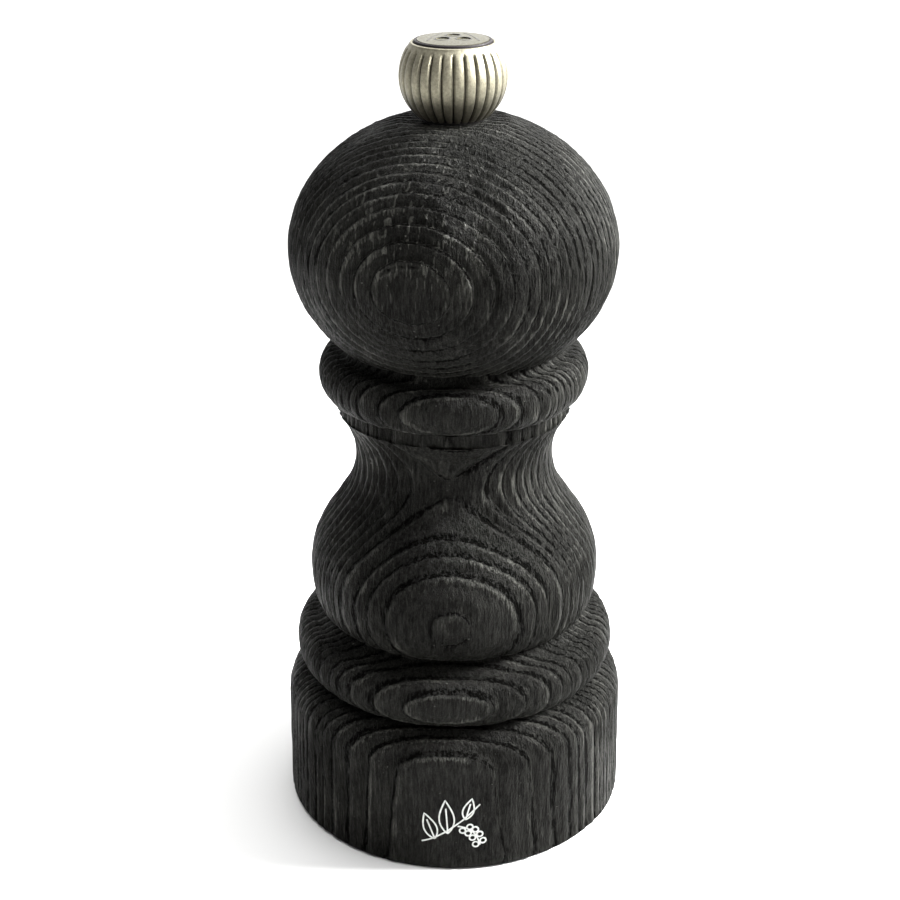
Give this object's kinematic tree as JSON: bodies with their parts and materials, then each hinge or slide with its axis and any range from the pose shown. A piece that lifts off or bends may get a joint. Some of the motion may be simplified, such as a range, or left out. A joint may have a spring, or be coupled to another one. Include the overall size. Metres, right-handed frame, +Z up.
{
  "type": "pepper mill",
  "caption": "Turned black wooden pepper mill: vase-shaped body with a bead foot, ball-shaped turning head and a fluted metal adjusting knob over a steel grinder.",
  "frame": {"origin": "centre of the underside of the foot, on the surface that the mill stands on", "axes": "+Z up along the mill's axis, from the foot to the knob; -Y is the front"},
  "size_m": [0.0542, 0.0542, 0.1217],
  "materials": {
    "black_wood": "brushed, black stained, satin",
    "pewter_metal": "satin, antique pewter",
    "black_plastic": "satin",
    "cap_metal": "satin, printed mark",
    "hardened_steel": "blackened, hardened steel",
    "sheet_steel": "plated pressed sheet",
    "screw_steel": "zinc plated",
    "rod_aluminium": "drawn, satin",
    "plate_aluminium": "stamped",
    "spring_steel": "bright wire",
    "white_plastic": "moulded nylon"
  },
  "bodies": {
    "mill_body": {"wooden_body": "black_wood", "grinder_housing": "sheet_steel", "female_grinder": "hardened_steel", "spindle_bridge": "sheet_steel", "housing_screws": "screw_steel"},
    "guide": {"guide_bush": "white_plastic"},
    "spindle": {"spindle": "rod_aluminium", "male_grinder": "hardened_steel", "spring_washer": "sheet_steel", "grinder_washer": "sheet_steel", "retaining_clip": "spring_steel", "grinder_spring": "spring_steel"},
    "head": {"wooden_head": "black_wood", "drive_plate": "plate_aluminium", "drive_plate_screws": "screw_steel", "knob_washer": "sheet_steel"},
    "knob": {"knob": "pewter_metal", "knob_cap_ring": "black_plastic", "knob_cap": "cap_metal"}
  },
  "joints": [
    {"name": "head_turn", "type": "hinge", "parent": "mill_body", "child": "guide", "pos_m": [0, 0, 0.026], "axis": [0, 0, 1], "continuous": true},
    {"name": "grind_setting", "type": "slide", "parent": "guide", "child": "spindle", "axis": [0, 0, 1], "range_m": [-0.0015, 0.0003], "deforming": ["grinder_spring"]},
    {"name": "head_lift", "type": "slide", "parent": "guide", "child": "head", "axis": [0, 0, 1], "range_m": [0, 0.06]},
    {"name": "knob_turn", "type": "hinge", "parent": "head", "child": "knob", "pos_m": [0, 0, 0.1107], "axis": [0, 0, 1], "range_deg": [-135, 675]}
  ],
  "couplings": [
    {"joint": "knob_turn", "follows": "grind_setting", "rad_per_m": -7854}
  ]
}
